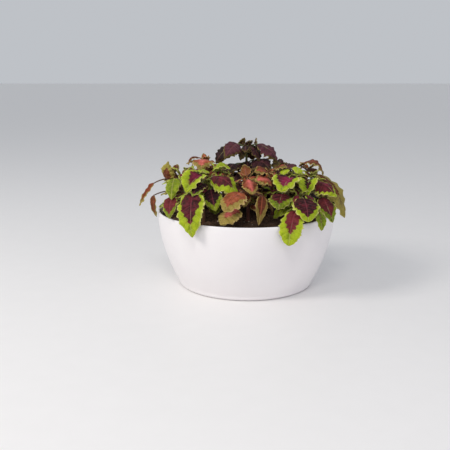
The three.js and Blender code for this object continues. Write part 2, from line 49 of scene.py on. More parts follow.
RIGHT = np.array([1.0, 0.0, 0.0])
BACK = np.array([0.0, 1.0, 0.0])

# Bowl. The side swells from the foot to the rim as a power curve.
RIM_RADIUS = 150
BOWL_HEIGHT = 128
FOOT_DROP = 38
SIDE_POWER = 1.9
CORNER_RADIUS = 7
WALL = 5
LIP_WALL = 3.4
LIP_BASE = BOWL_HEIGHT - LIP_WALL / 2
BOWL_SIDES = 144

# Soil, a little under the rim and heaped slightly in the middle. Its bumps have so many millimetres to the
# radian, and an angle to start from.
SOIL_EDGE = 115
SOIL_MOUND = 5
SOIL_BUMP = 1.4
BUMPS_IN_X = (11, 1.3)
BUMPS_IN_Y = (9, -0.4)
SEAT_GAP = 0.3
SOIL_SIDES = 160
SOIL_RINGS = 64

# Its crumbled surface: waves CRUMBLE_FLATNESS times as long as high, which fade out beside the bowl.
SOIL_SEED = 11
CRUMBLE_LENGTHS = [17, 9, 5]
CRUMBLE_WAVES = 6
CRUMBLE_FLATNESS = 60
CRUMBLE_FADE = 8
GROUND_TONE = 0.2

# Loose crumbs. The ranges are (least, most): stretch along each axis, dents as shares of the radius, and
# the centre's height over the soil in radii.
CRUMBS = 1500
CRUMB_SIDES = 6
CRUMB_LEVELS = [-0.8, -0.35, 0.35, 0.8]
CRUMB_LEAST = 0.5
CRUMB_MORE = 1.9
CRUMB_STRETCH = (0.6, 1.25)
CRUMB_DENT = (0.8, 1.15)
CRUMB_SEAT = (-0.2, 0.5)
CRUMB_MARGIN = 4

# Stems and leaf stalks. STEM_SHARE brings the corners of the square stem out to its radius. The midrib is
# under the blade from MIDRIB_UNDER of its length on.
HOLE_DEPTH = 34
STEM_RADIUS = 3.6
STEM_TIP_RADIUS = 2.2
STEM_SHARE = 0.875
STEM_SQUARENESS = 0.143
STEM_ROWS = 70
STEM_SIDES = 16
KNOT_SWELL = 0.35
KNOT_LENGTH = 2.5
STALK_HALF = 1.2
STALK_RADII = (1.3, 1.0)
STALK_ROWS = 9
MIDRIB_RADII = (0.95, 0.3)
MIDRIB_ROWS = 12
MIDRIB_END = 0.88
MIDRIB_UNDER = 0.08
MIDRIB_SUNK = 0.2

# Blade outline: half widths rise from the base and fall to the tip as two powers of the way along. The
# edge's wave starts from another angle on each side.
BLADE_THICKNESS = 0.8
BASE_POWER = 0.62
TIP_POWER = 0.97
EDGE_WAVES = 1.6
RIGHT_WAVE, LEFT_WAVE = 0.6, 2.9

# Placed leaves: teeth on each side for a width over so much, and the width in heights of the edge's wave.
TEETH_BY_WIDTH = [(30, 5), (16, 4), (0, 3)]
PLACED_FLATNESS = 19

# Leaves of the crossed pairs. The ranges are (least, most): turn off the pair's direction, stalk as a share
# of the blade's length, droop, width as a share, roll, edge lift, and the outline's power at the tip.
PAIR_RANGES = [(-14, 14), (0.3, 0.42), (20, 50), (0.66, 0.78), (-26, 26), (-0.28, 0.12), (0.75, 1.05)]
PAIR_OUT, PAIR_UP = 0.9, 0.35
PAIR_ARCH = 0.22
PAIR_FLATNESS = 15
PAIR_TEETH = 3
PAIR_SHRINK = 0.12
TOP_CLEAR = 14

# The two young leaves at a stem's end, by their turn, length and rise in radians.
YOUNG_RANGES = [(-12, 12), (15, 21), (0.35, 0.8)]
YOUNG_DOWN, YOUNG_OUT, YOUNG_UP = 1.5, 4, 2
YOUNG_WIDTH = 0.62
YOUNG_ARCH = 5
YOUNG_FOLD = 0.15
YOUNG_WAVE = 0.8
YOUNG_TEETH = 2

# No pairs grow to the front of a stem that has placed leaves. A leaf that is in another one's way shifts to
# the front or back, or, for each size, changes by (turn, lift).
FRONT_LIMIT = 0.6
PLACED_SHIFTS = [0, -4, 4, -8, 8, -12, 12, -16, 16, -20, 20]
RULED_CHANGES = {
    1: [
        (0, 0), (14, 0), (-14, 0), (0, -12), (0, 12), (28, 0), (-28, 0),
        (14, 12), (-14, 12), (14, -12), (-14, -12),
    ],
    0.85: [(0, 0), (20, 0), (-20, 0), (0, -10), (0, 10), (36, 8), (-36, 8)],
    0.7: [(0, 0), (20, 0), (-20, 0), (0, 10)],
}
SAME_POINT = 0.05

# Small, lately opened leaves, which the solids don't have, by width as a share and roll.
BUD_RANGES = [(0.52, 0.66), (-20, 20)]
BUD_OUT, BUD_UP = 0.35, 0.2
BUD_ARCH = 0.2
BUD_FOLD = -0.2
BUD_FLATNESS = 14
BUD_TEETH = 3

# Two stand in the angle of each leaf stalk, as shares of the leaf's length, larger where sheltered. A ring,
# by turn, length and rise, stands in steps under the top of a stem at the back, and four, by length and
# rise, at the end of every stem.
ANGLE_OVER = 1.5
ANGLE_TURN, ANGLE_RISE = (25, 75), (-55, 15)
OPEN_SHARES, OPEN_MOST = (0.35, 0.65), 30
SHELTERED_SHARES, SHELTERED_MOST = (0.5, 0.85), 42
RING_RANGES = [(-10, 10), (24, 38), (-60, -10)]
RING_LEAVES, RING_ANGLE = 9, 137.5
RING_DOWN, RING_TOP = 9, 190
RING_STEP, RING_STEPS = 2.5, 4
END_RANGES = [(7, 11), (25, 65)]
END_DOWN = 1

# Keys of the random numbers: a thousand for each stem, and in it starts and steps for each kind of leaf.
STEM_KEYS, PAIR_KEYS, HALF_KEYS = 1000, 100, 45
YOUNG_KEYS = 900
ANGLE_KEYS, ANGLE_STEP, HAND_STEP = 500, 17, 4
END_KEYS, RING_KEYS, NEXT_KEY = 700, 800, 13
LOOKS_KEYS = 7
BLADE_KEYS = 31

Stem = namedtuple("Stem", "name colour foot top pairs turn reach clear leaves")
Leaf = namedtuple(
    "Leaf", "height base tip width arch roll fold taper wave teeth growth heart warmth glow fresh",
)

# Every leafy stem, with its placed leaves as [height on the stem, blade base, blade tip, width, arch, roll,
# edge lift, power of the outline at the tip, size of the coloured heart, its warmth, strength of the bright
# middle, freshness of the margin].
STEMS = [
    Stem("dark_centre", "dark", [2, 10], [0, 2, 234], 5, 80, 60, 16, [
        [229, [-15, -6, 239], [-37, -36, 217], 32, 16, -35, -0.15, 0.97, 0.95, 0.9, 0.3, 0.8],
        [224, [-30, 8, 231], [-51, 4, 204], 28, 12, -55, -0.15, 0.97, 0.9, 0, 0, 0.2],
        [230, [19, -2, 238], [52, -14, 206], 35, 18, 20, -0.15, 0.97, 0.93, 0.8, 0.3, 0.5],
        [232, [-11, 9, 235], [-2, 8, 248], 12, 3, 0, 0.3, 0.97, 0.6, 0.2, 0, 0.7],
        [232, [20, 8, 232], [17, 8, 248], 13, 3, 0, 0.3, 0.97, 0.7, 0.3, 0, 0.8],
        [227, [-4, -5, 229], [-10, -18, 212], 15, 6, 0, -0.1, 0.97, 0.2, 0, 0, 0.2],
        [227, [12, -6, 230], [21, -19, 211], 23, 8, 0, -0.1, 0.97, 0.92, 0.3, 0, 0.1],
        [230, [2, -9, 236], [2, -22, 226], 13, 4, 0, -0.1, 0.97, 0.5, 0.1, 0, 0.3],
        [204, [12, -5, 211], [42, -26, 195], 42, 14, 20, -0.15, 0.97, 0.9, 0.35, 0.1, 0.5],
        [200, [-17, -10, 205], [-35, -40, 192], 30, 10, -10, -0.15, 0.97, 0.9, 0.1, 0, 0.2],
        [168, [6, -12, 174], [14, -46, 154], 38, 12, 0, -0.1, 0.97, 0.95, 0.3, 0.2, 0.2],
    ]),
    Stem("lime_left_front", "lime", [-70, -64], [-74, -74, 196], 3, 60, 50, 26, [
        [170, [-84, -104, 173], [-85, -142, 111], 53, 16, 15, 0.1, 0.97, 0.7, 0.4, 0.2, 1],
        [190, [-74, -88, 198], [-95, -112, 174], 42, 12, 0, 0.5, 0.97, 0.58, 0.45, 0.5, 1],
        [184, [-70, -92, 186], [-86, -118, 170], 28, 8, 0, 0.05, 0.97, 0.95, 0, 0, 0.5],
    ]),
    Stem("lime_left", "lime", [-98, -28], [-108, -34, 192], 3, 140, 46, 24, [
        [176, [-117, -50, 187], [-120, -84, 158], 28, 12, 0, -0.1, 0.97, 0, 0.2, 0, 0.6],
        [150, [-121, -72, 161], [-123, -100, 131], 27, 8, 0, 0, 0.97, 0.85, 0.9, 0.1, 0.5],
        [188, [-92, -46, 196], [-60, -64, 198], 28, 12, 0, -0.3, 0.97, 0.45, 0.4, 0.1, 0.9],
    ]),
    Stem("bronze_left", "bronze", [-100, 16], [-122, 4, 190], 4, 45, 44, 18, [
        [176, [-155, -15, 174], [-180, -20, 136], 20, 2, 0, 0.3, 0.97, 0.84, 0.8, 0.1, 0.8],
        [150, [-154, -30, 156], [-149, -38, 121], 15, 6, 0, 0.3, 0.97, 0.85, 0.5, 0.1, 0.4],
        [180, [-134, -4, 180], [-130, -14, 212], 30, 4, 180, -0.2, 1.3, 0.6, 0.5, 0.3, 1.5],
    ]),
    Stem("coral_left_back", "coral", [-62, 34], [-70, 20, 206], 5, 55, 60, 16, [
        [202, [-72, -2, 211], [-75, -44, 200], 38, 10, 0, -0.1, 0.97, 0.8, 0.8, 0.8, 0.7],
        [204, [-79, 14, 213], [-98, 8, 201], 12, 17, 0, -0.2, 0.97, 0.95, 0, 0, 0],
    ]),
    Stem("lime_centre_left", "lime", [-36, -36], [-44, -50, 198], 3, 90, 50, 24, [
        [195, [-56, -58, 200], [-27, -68, 205], 26, 24, 0, -0.6, 0.97, 0, 0.2, 0, 0.9],
        [184, [-57, -78, 194], [-14, -100, 163], 42, 30, 0, -0.4, 0.97, 0.68, 0.5, 0.1, 1],
        [164, [-58, -88, 176], [-50, -116, 146], 34, 10, 0, -0.1, 0.97, 0.8, 0, 0, 0.7],
    ]),
    Stem("coral_centre", "coral", [2, -58], [-2, -66, 190], 3, 80, 48, 28, [
        [160, [-12, -102, 174], [-36, -138, 152], 44, 12, 0, -0.1, 0.8, 0.84, 0.7, 0.15, 0.9],
        [184, [0, -84, 191], [7, -108, 171], 27, 8, 0, -0.2, 0.8, 0.9, 0.4, 0.7, 0.8],
        [140, [-16, -104, 147], [-42, -136, 129], 41, 10, 0, -0.1, 0.8, 0.6, 0.4, 1, 1.3],
        [158, [22, -96, 166], [15, -134, 128], 20, 8, 0, 0.3, 0.97, 0.7, 0, 0, 0.2],
        [187, [-2, -74, 196], [-6, -80, 214], 18, 4, 0, 0.3, 0.97, 0.8, 0.8, 0.4, 0.7],
    ]),
    Stem("coral_centre_right", "coral", [44, -16], [40, -34, 194], 4, 70, 54, 20, [
        [178, [38, -52, 182], [11, -76, 187], 31, 10, -35, -0.1, 0.97, 0.93, 0.9, 0.9, 1],
        [188, [32, -44, 196], [11, -62, 200], 26, 8, -30, 0.1, 0.97, 0.9, 0.4, 0.3, 0.5],
        [192, [47, -42, 203], [64, -58, 206], 24, 8, 10, -0.2, 0.97, 0.8, 0.2, 0.1, 0.4],
    ]),
    Stem("lime_right_centre", "lime", [66, -38], [68, -50, 192], 3, 95, 50, 24, [
        [186, [67, -70, 190], [50, -116, 176], 50, 8, 0, 0.35, 0.97, 0.74, 0.3, 1, 1],
        # This leaf hangs in shade under the leaf above. Its warmth and freshness are kept low to darken its
        # colour: painted shade.
        [160, [54, -86, 168], [46, -122, 150], 42, 8, 0, -0.1, 0.97, 0.75, 0.5, 0.1, 0.4],
        [190, [62, -56, 203], [57, -74, 195], 18, 4, 0, -0.2, 0.97, 0, 0.2, 0, 1.2],
        [188, [83, -42, 204], [79, -64, 197], 20, 5, 0, -0.2, 0.97, 0, 0.2, 0, 1.3],
    ]),
    Stem("lime_right_front", "lime", [78, -84], [82, -92, 166], 2, 90, 44, 26, [
        [144, [71, -126, 149], [59, -156, 102], 40, 14, 0, 0.1, 0.62, 0.66, 0.9, 0.1, 1],
        [162, [85, -110, 165], [88, -150, 137], 44, 14, 0, 0, 0.75, 0.88, 0.2, 0.1, 0.9],
        [142, [108, -114, 146], [110, -138, 121], 20, 6, 0, 0.1, 0.75, 0.15, 0.3, 0, 0.55],
    ]),
    Stem("lime_right", "lime", [104, -26], [106, -38, 188], 3, 85, 50, 24, [
        [184, [98, -66, 182], [92, -100, 165], 36, 4, 0, 1, 0.97, 0.35, 0.1, 0, 1.1],
        [178, [108, -66, 185], [140, -86, 163], 42, 14, 0, -0.4, 0.97, 0.86, 0.5, 0.2, 1],
        [158, [118, -80, 162], [131, -114, 128], 32, 8, 0, -0.1, 0.97, 0.8, 0.5, 0, 0.4],
    ]),
    Stem("bronze_right", "bronze", [100, 24], [106, 10, 194], 4, 100, 56, 18, [
        [190, [88, -12, 202], [127, -26, 189], 34, 30, -15, 0.1, 0.97, 0.92, 0.6, 0.2, 0.4],
        [176, [118, -24, 190], [161, -48, 121], 42, 30, 0, -0.2, 0.97, 0.35, 0.1, 0, 0.9],
        [164, [120, -40, 168], [149, -60, 137], 24, 10, 0, 0.1, 0.97, 0.4, 0.1, 0, 0.8],
    ]),
    Stem("dark_right", "dark", [58, 20], [60, 6, 200], 5, 60, 56, 16, [
        [196, [66, -6, 203], [84, -24, 197], 26, 10, 0, -0.2, 0.97, 0.95, 0.8, 0.1, 0.3],
        [190, [52, -12, 194], [38, -44, 182], 32, 12, 0, -0.1, 0.97, 0.95, 0.5, 0.1, 0.3],
        [198, [53, -2, 208], [45, -14, 199], 18, 4, 0, -0.1, 0.97, 0.4, 0.3, 0, 1],
    ]),
    Stem("lime_back_left", "lime", [-92, 66], [-100, 76, 178], 5, 20, 66, 12, []),
    Stem("coral_back", "coral", [-36, 88], [-40, 98, 184], 5, 75, 68, 12, []),
    Stem("lime_back", "lime", [26, 84], [28, 92, 184], 5, 30, 68, 12, []),
    Stem("dark_back_right", "dark", [84, 74], [94, 82, 182], 5, 110, 66, 12, []),
]

# The looks of the leaves that aren't placed, as (least, most): heart, warmth, bright middle and freshness.
RULED_LOOKS = {
    "lime": [(0.55, 0.86), (0.2, 0.8), (0.0, 0.6), (0.5, 1.0)],
    "coral": [(0.75, 0.96), (0.3, 0.9), (0.1, 0.5), (0.3, 0.9)],
    "dark": [(0.92, 0.98), (0.0, 0.7), (0.0, 0.2), (0.1, 0.6)],
    "bronze": [(0.6, 0.92), (0.2, 0.9), (0.0, 0.3), (0.3, 0.9)],
}

# Blade finish. A side vein that leaves the midrib at t reaches the edge VEIN_LEAN * sin(pi * t) further on.
SKIN = 0.25
EDGE_SKIN = 0.14
LAST_ROW = 0.994
VEIN_LEAN = 0.2
VEIN_CURVE = 1.3
TEETH_FROM = 0.6
TOOTH_LEAN = 0.68
COARSE_NOTCH = 0.13
FINE_NOTCH = 0.09
FINE_START = 0.3

# Relief of a face. Shares are of the leaf's width, and the channel is in millimetres. Cushions rise over
# the first part of the half width and fall over the last. Each step moves a pattern on from blade to blade.
CUSHION_SHARE = 0.034
CUSHION_POWER = 0.6
CUSHION_RISE = 0.12
CUSHION_FALL = 0.3
BUCKLE_SHARE = 0.026
BUCKLES_ALONG, ALONG_STEP = 1.3, 0.21
BUCKLES_ACROSS, ACROSS_STEP = 0.9, 0.3
RUFFLE_SHARES = {"lime": 0.046, "coral": 0.055, "dark": 0.075, "bronze": 0.06}
RUFFLES_PER_VEIN = 0.9
RUFFLE_STEP = 0.37
RUFFLE_OFFSET = 1.1
EDGE_CURL = 1.1
CHANNEL_DEPTH = 0.35
CHANNEL_HALF = 1.1

# The heart of a leaf: where it ends and how late it narrows, each as the least and what the largest heart
# adds, its fringe along the veins, and its bright middle. A leaf under NO_HEART shows none.
HEART_END, HEART_END_MORE = 0.62, 0.36
HEART_POWER, HEART_POWER_MORE = 1.6, 4
HEART_FRINGE = 0.05
NO_HEART = 0.1
HEART_OFF = 0.12
GLOW_HALF = 0.36
GLOW_END = 0.15
VEIN_SPREAD = 1.5

# How finely a blade is made: rows from one vein to the next and columns across, with more for its width.
LEAST_ROWS, ROW_WIDTH = 4, 5
LEAST_COLUMNS, COLUMN_WIDTH = 5, 3

# What each kind of leaf has: more side veins than teeth, at most so many of those rows and columns, and a
# stalk so slender, with a bow as a share of its length.
Growth = namedtuple("Growth", "more_veins rows columns slender bow")
GROWTHS = {
    "placed": Growth(1, 12, 31, 1, 0.2),
    "ruled": Growth(2, 7, 17, 1, 0.04),
    "young": Growth(2, 6, 11, 0.7, 0.04),
    "bud": Growth(1, 4, 7, 0.5, 0.04),
}


# Repeatable numbers.

def draw(key):
    """A repeatable number from 0 to 1 for each whole-number key, as the remainder of large products."""
    key_factor, start, factor, modulus = 7919, 104729, 16807, 2147483647
    state = int(key * key_factor + start) % modulus
    for _ in range(3):
        state = (state * factor) % modulus
    return state / modulus


def spread(key, low, high):
    return low + (high - low) * draw(key)


def drawn(ranges, key):
    """A number within each (least, most), for this key and those that follow."""
    return [spread(key + step, *ends) for step, ends in enumerate(ranges)]


# Vectors.

def unit(vector):
    vector = np.asarray(vector, float)
    return vector / np.linalg.norm(vector, axis=-1, keepdims=True)


def turned(vector, axis, degrees):
    """The vector turned about a unit axis by the right-hand rule."""
    angle = math.radians(degrees)
    across = np.cross(axis, vector)
    kept = axis * (axis @ vector) * (1 - math.cos(angle))
    return vector * math.cos(angle) + across * math.sin(angle) + kept


def outward_at(degrees):
    return np.array([math.cos(math.radians(degrees)), math.sin(math.radians(degrees)), 0.0])


def bent(start, control, end, t):
    """A curve of the second degree at each t from 0 to 1."""
    t = np.asarray(t, float)[..., None]
    return (1 - t) ** 2 * start + 2 * t * (1 - t) * control + t * t * end


# Meshes.

class Shape:
    """Grids of points gathered into one mesh, with a material for each face and values for each point."""

    def __init__(self, *value_names):
        self.points = []
        self.quads = []
        self.materials = []
        self.values = {name: [] for name in value_names}
        self.count = 0

    def add(self, points, quads, material=0, **values):
        points = np.asarray(points, float).reshape(-1, 3)
        self.points.append(points)
        self.quads.append(quads + self.count)
        self.materials.append(np.full(len(quads), material))
        for name, parts in self.values.items():
            parts.append(np.broadcast_to(np.ravel(values.get(name, 0.0)), len(points)))
        self.count += len(points)

    def make(self, name, materials):
        points = np.concatenate(self.points) * MM
        quads = np.concatenate(self.quads)
        mesh = bpy.data.meshes.new(name)
        mesh.vertices.add(len(points))
        mesh.vertices.foreach_set("co", points.ravel())
        mesh.loops.add(quads.size)
        mesh.loops.foreach_set("vertex_index", quads.ravel())
        mesh.polygons.add(len(quads))
        mesh.polygons.foreach_set("loop_start", np.arange(0, quads.size, 4))
        mesh.polygons.foreach_set("material_index", np.concatenate(self.materials))
        mesh.polygons.foreach_set("use_smooth", np.ones(len(quads), bool))
        mesh.update(calc_edges=True)
        for value, parts in self.values.items():
            layer = mesh.attributes.new(value, "FLOAT", "POINT")
            layer.data.foreach_set("value", np.concatenate(parts))
        for material in materials:
            mesh.materials.append(material)
        piece = bpy.data.objects.new(name, mesh)
        bpy.context.scene.collection.objects.link(piece)
        return piece


def grid_quads(rows, columns):
    """The quads of rows of points that each close on themselves."""
    row = np.arange(rows - 1)[:, None] * columns
    column = np.arange(columns)[None, :]
    after = (column + 1) % columns
    corners = [row + column, row + after, row + columns + after, row + columns + column]
    return np.stack(corners, -1).reshape(-1, 4)


def cap_quads(sides):
    """Quads across a ring of an even number of points, from one side of it to the other."""
    step = np.arange(sides // 2 - 1)
    return np.stack([step, step + 1, sides - 2 - step, sides - 1 - step], -1)


def tube_quads(rows, sides):
    """A closed skin over rows of rings, with a cap at both ends."""
    cap = cap_quads(sides)
    return np.concatenate([grid_quads(rows, sides), cap[:, ::-1], cap + (rows - 1) * sides])


def swept(centres, radii, sides, first, squareness=0.0):
    """Rings carried along a path, square to it, with the first direction as their zero angle.
    Squareness swells a ring at its four corners, as the cosine of four times the angle."""
    along = unit(np.gradient(centres, axis=0))
    across = unit(first - along * (along @ first)[:, None])
    third = np.cross(along, across)
    angle = (np.arange(sides) + 0.5) / sides * 2 * np.pi
    swell = 1 - squareness * np.cos(4 * angle)
    ring = across[:, None] * np.cos(angle)[:, None] + third[:, None] * np.sin(angle)[:, None]
    return centres[:, None] + ring * (radii[:, None] * swell)[..., None]


def lathed(profile, sides):
    """A profile of (radius, height) turned about the Z axis, with a cap across its first and last ring."""
    profile = np.asarray(profile, float)
    angle = np.arange(sides) / sides * 2 * np.pi
    radius, height = profile[:, :1], profile[:, 1:]
    level = np.broadcast_to(height, (len(profile), sides))
    points = np.stack([radius * np.cos(angle), radius * np.sin(angle), level], -1)
    return points, tube_quads(len(profile), sides)


# Colours and nodes.

def linear(colour):
    """An sRGB hex colour as linear red, green, blue and 1."""
    shares = [int(colour[i:i + 2], 16) / 255 for i in (1, 3, 5)]
    return (*[s / 12.92 if s <= 0.04045 else ((s + 0.055) / 1.055) ** 2.4 for s in shares], 1.0)


def per_mm(size):
    """The scale of a pattern with features so many millimetres across, in Object coordinates."""
    return 1 / (size * MM)


def node(tree, kind, sources=(), take=None, **settings):
    """Adds one node with its settings and gives its output. Sources are values or outputs of other nodes,
    by socket name or in order."""
    made = tree.nodes.new("ShaderNode" + kind)
    for name, value in settings.items():
        setattr(made, name, value)
    in_order = [socket for socket in made.inputs if socket.enabled]
    named = sources if isinstance(sources, dict) else dict(enumerate(sources))
    for key, value in named.items():
        socket = made.inputs[key] if isinstance(key, str) else in_order[key]
        if isinstance(value, bpy.types.NodeSocket):
            tree.links.new(value, socket)
        else:
            socket.default_value = value
    if take:
        return made.outputs[take]
    return next((socket for socket in made.outputs if socket.enabled), None)


def point_value(tree, name):
    return node(tree, "Attribute", take="Fac", attribute_name=name)


def noise(tree, place, size, detail, **more):
    """Cloudy noise from 0 to 1 whose features are so many millimetres across."""
    return node(tree, "TexNoise", {"Vector": place, "Scale": per_mm(size), "Detail": detail, **more})


def mapped(tree, value, start, end, low=0.0, high=1.0):
    """A value's range from start to end, spread over low to high and held there beyond it."""
    limits = {"From Min": start, "From Max": end, "To Min": low, "To Max": high}
    return node(tree, "MapRange", {"Value": value, **limits})


def added(tree, value, factor, rest):
    """The value times a factor, added to the rest."""
    return node(tree, "Math", [value, factor, rest], operation="MULTIPLY_ADD")


def scaled(tree, value, factor, **settings):
    return node(tree, "Math", [value, factor], operation="MULTIPLY", **settings)


def mixed(tree, share, first, second):
    """The first colour, giving way to the second as the share goes to 1. Each is hex or an output."""
    both = [linear(colour) if isinstance(colour, str) else colour for colour in (first, second)]
    return node(tree, "Mix", [share, *both], data_type="RGBA")


def bumped(tree, height, strength, distance):
    """Fine relief in the shading, with its distance in millimetres."""
    return node(tree, "Bump", {"Height": height, "Strength": strength, "Distance": distance * MM})


def surface(name, paint, **values):
    """A material with one Principled shader: its values, and the sockets that paint(tree, place) links."""
    made = bpy.data.materials.new(name)
    made.use_nodes = True
    tree = made.node_tree
    tree.nodes.clear()
    place = node(tree, "TexCoord", take="Object")
    sources = {socket.replace("_", " "): value for socket, value in values.items()}
    node(tree, "OutputMaterial", [node(tree, "BsdfPrincipled", {**sources, **paint(tree, place)})])
    return made


# Materials.

def glazed_stoneware():
    """White stoneware under a satin glaze, a little pooled and faintly uneven in its gloss."""
    def paint(tree, place):
        pooling = noise(tree, place, 45, 3.0)
        peel = noise(tree, place, 6, 2.0)
        return {
            "Base Color": mixed(tree, pooling, "#EDE8E9", "#F4F1F1"),
            "Roughness": mapped(tree, peel, 0, 1, 0.3, 0.4),
            "Normal": bumped(tree, peel, 0.15, 0.2),
        }
    return surface("glazed_stoneware", paint, IOR=1.52)


def damp_potting_soil():
    """Damp peat and bark: near black, brown on the dry crumbs, with a few pale grains."""
    def paint(tree, place):
        tone = point_value(tree, "crumb_tone")
        peat = noise(tree, place, 4, 6.0, Roughness=0.7)
        dry = mapped(tree, peat, 0.35, 0.7)
        ground = mixed(tree, dry, "#3C2C22", "#785C48")
        brown = mapped(tree, tone, 0.35, 0.9)
        bark = mixed(tree, brown, ground, "#8A664C")
        grain = node(tree, "Math", [tone, 0.955], operation="GREATER_THAN")
        colour = mixed(tree, grain, bark, "#B3A596")
        return {"Base Color": colour, "Normal": bumped(tree, peat, 0.7, 1.0)}
    return surface("damp_potting_soil", paint, Roughness=0.9, IOR=1.4)


LEAF_VALUES = ["heart", "warmth", "glow", "fresh", "vein", "rib", "edge", "underside"]

# rim is the pale colour of the larger veins and of the edge; along the edge it is partly a painted highlight.
LeafColours = namedtuple("LeafColours", "fresh dull rim heart warm_heart glow vein back")


def leaf_skin(name, colours):
    """A living leaf: a green or olive margin round a coloured heart that runs out along the side veins, a
    bright middle, veins of their own colour, a paler rim that is partly the leaf's own pale edge and partly a
    painted highlight, and a duller back, with a soft sheen of hairs."""
    def paint(tree, place):
        value = {wanted: point_value(tree, wanted) for wanted in LEAF_VALUES}
        mottle = noise(tree, place, 8, 4.0)
        fleck = noise(tree, place, 1.8, 3.0)
        cell_sources = {"Vector": place, "Scale": per_mm(2.6)}
        cells = node(tree, "TexVoronoi", cell_sources, feature="DISTANCE_TO_EDGE")

        # Lines along the side veins and the midrib, from their distances in millimetres.
        side_vein = scaled(tree, mapped(tree, value["vein"], 0.75, 0.2), 0.6)
        midrib = mapped(tree, value["rib"], 1.2, 0.4)
        line = node(tree, "Math", [side_vein, midrib], operation="MAXIMUM")

        # The heart's edge is ragged and flecked.
        ragged = added(tree, mottle, 0.34, value["heart"])
        ragged = added(tree, fleck, 0.4, ragged)
        in_heart = mapped(tree, ragged, 0.33, 0.4)

        # The heart in its two shades, and its veins.
        shade = added(tree, fleck, 1.1, value["warmth"])
        shade = added(tree, mottle, 1.5, shade)
        inner = mixed(tree, mapped(tree, shade, 1.4, 2.3), colours.heart, colours.warm_heart)
        inner = mixed(tree, scaled(tree, line, 0.5), inner, colours.vein)

        # The margin: fresher in patches and towards the edge, netted with fine veins, and paler along its
        # larger veins and at its very rim. The pale line at the rim is partly the leaf's own pale edge and
        # partly a painted highlight.
        ripe = added(tree, mottle, 1.3, value["fresh"])
        ripe = added(tree, fleck, 0.7, ripe)
        ripe = added(tree, value["edge"], 0.5, ripe)
        outer = mixed(tree, mapped(tree, ripe, 1.5, 2.5), colours.dull, colours.fresh)
        net = mapped(tree, cells, 0.0, 0.14, 0.3, 0.0)
        outer = mixed(tree, net, outer, colours.fresh)
        # Painted highlight, in part: a thin pale line along the very edge of the blade.
        rim = mapped(tree, value["edge"], 0.82, 0.97)
        pale = scaled(tree, added(tree, line, 0.35, rim), 0.75, use_clamp=True)
        outer = mixed(tree, pale, outer, colours.rim)

        # The bright middle lies over both, in patches, and the back is duller than the face.
        face = mixed(tree, in_heart, outer, inner)
        lit = added(tree, mottle, 0.9, value["glow"])
        face = mixed(tree, mapped(tree, lit, 0.55, 1.45), face, colours.glow)
        colour = mixed(tree, scaled(tree, value["underside"], 0.55), face, colours.back)
        return {
            "Base Color": colour,
            "Roughness": mapped(tree, fleck, 0, 1, 0.48, 0.7),
            "Normal": bumped(tree, added(tree, cells, 0.6, fleck), 0.5, 0.6),
        }
    return surface(
        name, paint, IOR=1.42, Specular_IOR_Level=0.22, Sheen_Weight=0.03, Sheen_Roughness=0.5,
        Subsurface_Weight=0.14, Subsurface_Scale=1.5 * MM, Subsurface_Radius=(1.0, 0.9, 0.4),
    )


def stem_skin(name, young, old):
    """A square stem: fresh at its tip, brown towards the soil, with a faintly uneven skin."""
    def paint(tree, place):
        height = node(tree, "SeparateXYZ", [place], take="Z")
        streak = noise(tree, place, 5, 4.0)
        age = added(tree, streak, 0.06, height)
        fresh = mapped(tree, age, 0.16, 0.25)
        return {"Base Color": mixed(tree, fresh, old, young), "Normal": bumped(tree, streak, 0.3, 0.5)}
    return surface(
        name, paint, Roughness=0.5, IOR=1.42, Sheen_Weight=0.1,
        Subsurface_Weight=0.08, Subsurface_Scale=1.5 * MM,
    )


def white_tabletop():
    """A plain white tabletop with a satin finish, hardly mottled."""
    def paint(tree, place):
        return {"Base Color": mixed(tree, noise(tree, place, 30, 2.0), "#EDEBEA", "#F0EEED")}
    return surface("white_tabletop", paint, Roughness=0.45)


# Bowl.

def outer_radius(z):
    return RIM_RADIUS - FOOT_DROP * (1 - z / BOWL_HEIGHT) ** SIDE_POWER


def inner_radius(z):
    """The inner wall leaves WALL at the foot and LIP_WALL at the lip."""
    return outer_radius(z) - WALL + (WALL - LIP_WALL) * (z / BOWL_HEIGHT)


def arc(radius, height, size, start, end, steps):
    """Points of an arc about (radius, height), by angles in degrees from the horizontal."""
    angle = np.radians(np.linspace(start, end, steps))
    return np.stack([radius + size * np.cos(angle), height + size * np.sin(angle)], -1)


def wall(radius_at, low, high, steps):
    height = np.linspace(low, high, steps)
    return np.stack([radius_at(height), height], -1)


def make_bowl():
    """The outer side from the foot's round corner up to the lip, over it in a half circle, and down the inner
    side to a smaller round corner."""
    lip = LIP_WALL / 2
    inner_corner = CORNER_RADIUS - WALL
    profile = np.concatenate([
        arc(outer_radius(CORNER_RADIUS) - CORNER_RADIUS, CORNER_RADIUS, CORNER_RADIUS, -90, 0, steps=12),
        wall(outer_radius, CORNER_RADIUS, LIP_BASE, steps=40)[1:-1],
        arc(RIM_RADIUS - lip, LIP_BASE, lip, 0, 180, steps=13),
        wall(inner_radius, LIP_BASE, CORNER_RADIUS, steps=30)[1:-1],
        arc(inner_radius(CORNER_RADIUS) - inner_corner, CORNER_RADIUS, inner_corner, 0, -90, steps=6),
    ])
    shape = Shape()
    shape.add(*lathed(profile, BOWL_SIDES))
    piece = shape.make("glazed_bowl", [glazed_stoneware()])
    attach(piece, "root")
    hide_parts("bowl")


# Soil.

def soil_height(x, y):
    """The heap of the soil: a shallow dome in the radius, with bumps as a sine of x times a cosine of y."""
    radius = np.hypot(x, y) / RIM_RADIUS
    bump = np.sin(x / BUMPS_IN_X[0] + BUMPS_IN_X[1]) * np.cos(y / BUMPS_IN_Y[0] + BUMPS_IN_Y[1])
    return SOIL_EDGE + SOIL_MOUND * (1 - radius * radius) + SOIL_BUMP * bump


